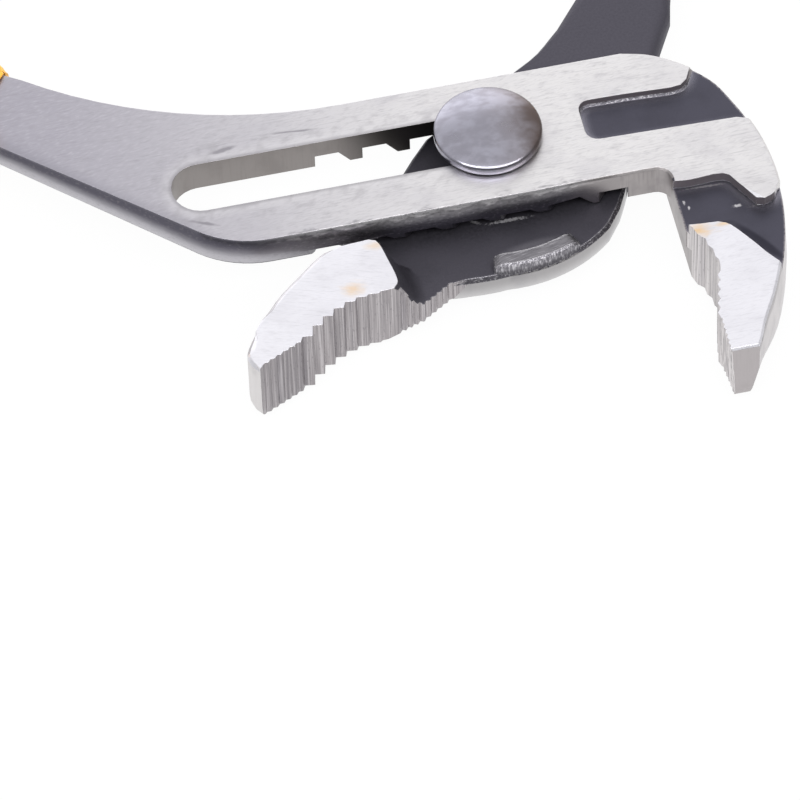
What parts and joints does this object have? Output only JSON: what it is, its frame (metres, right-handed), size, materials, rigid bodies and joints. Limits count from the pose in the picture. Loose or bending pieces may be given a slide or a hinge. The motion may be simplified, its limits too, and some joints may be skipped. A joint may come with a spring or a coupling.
{
  "type": "water pump pliers",
  "caption": "Water pump pliers with toothed offset jaws, a pivot bolt that slides in a long slot, curved grooves that hold each setting, and dipped soft grips.",
  "frame": {"origin": "on the pivot axis at the flat end of the pivot bolt, which is level with the surface that the tool lies on", "axes": "+X along the adjusting slot towards the fixed jaw, +Y towards the handles, +Z along the pivot axis out of the bolt's domed head"},
  "size_m": [0.3086, 0.2004, 0.017],
  "materials": {
    "ground_steel": "ground and satin polished forged steel",
    "black_steel": "black oxide on forged steel",
    "burnished_steel": "smooth burnished steel",
    "zinc_plated_steel": "zinc plated",
    "orange_pvc": "dipped soft PVC"
  },
  "bodies": {
    "slotted": {"slotted_lever": "ground_steel", "slotted_lever_grip": "orange_pvc"},
    "pivot": {"pivot_bolt": "burnished_steel", "pivot_nut": "zinc_plated_steel"},
    "moving": {"pivot_lever": "black_steel", "pivot_lever_grip": "orange_pvc"}
  },
  "joints": [
    {"name": "pivot_slide", "type": "slide", "parent": "slotted", "child": "pivot", "axis": [1, 0, 0], "range_m": [-0.045, 0]},
    {"name": "jaw_hinge", "type": "hinge", "parent": "pivot", "child": "moving", "pos_m": [0, 0, 0], "axis": [0, 0, 1], "range_deg": [-4.5, 77]}
  ]
}
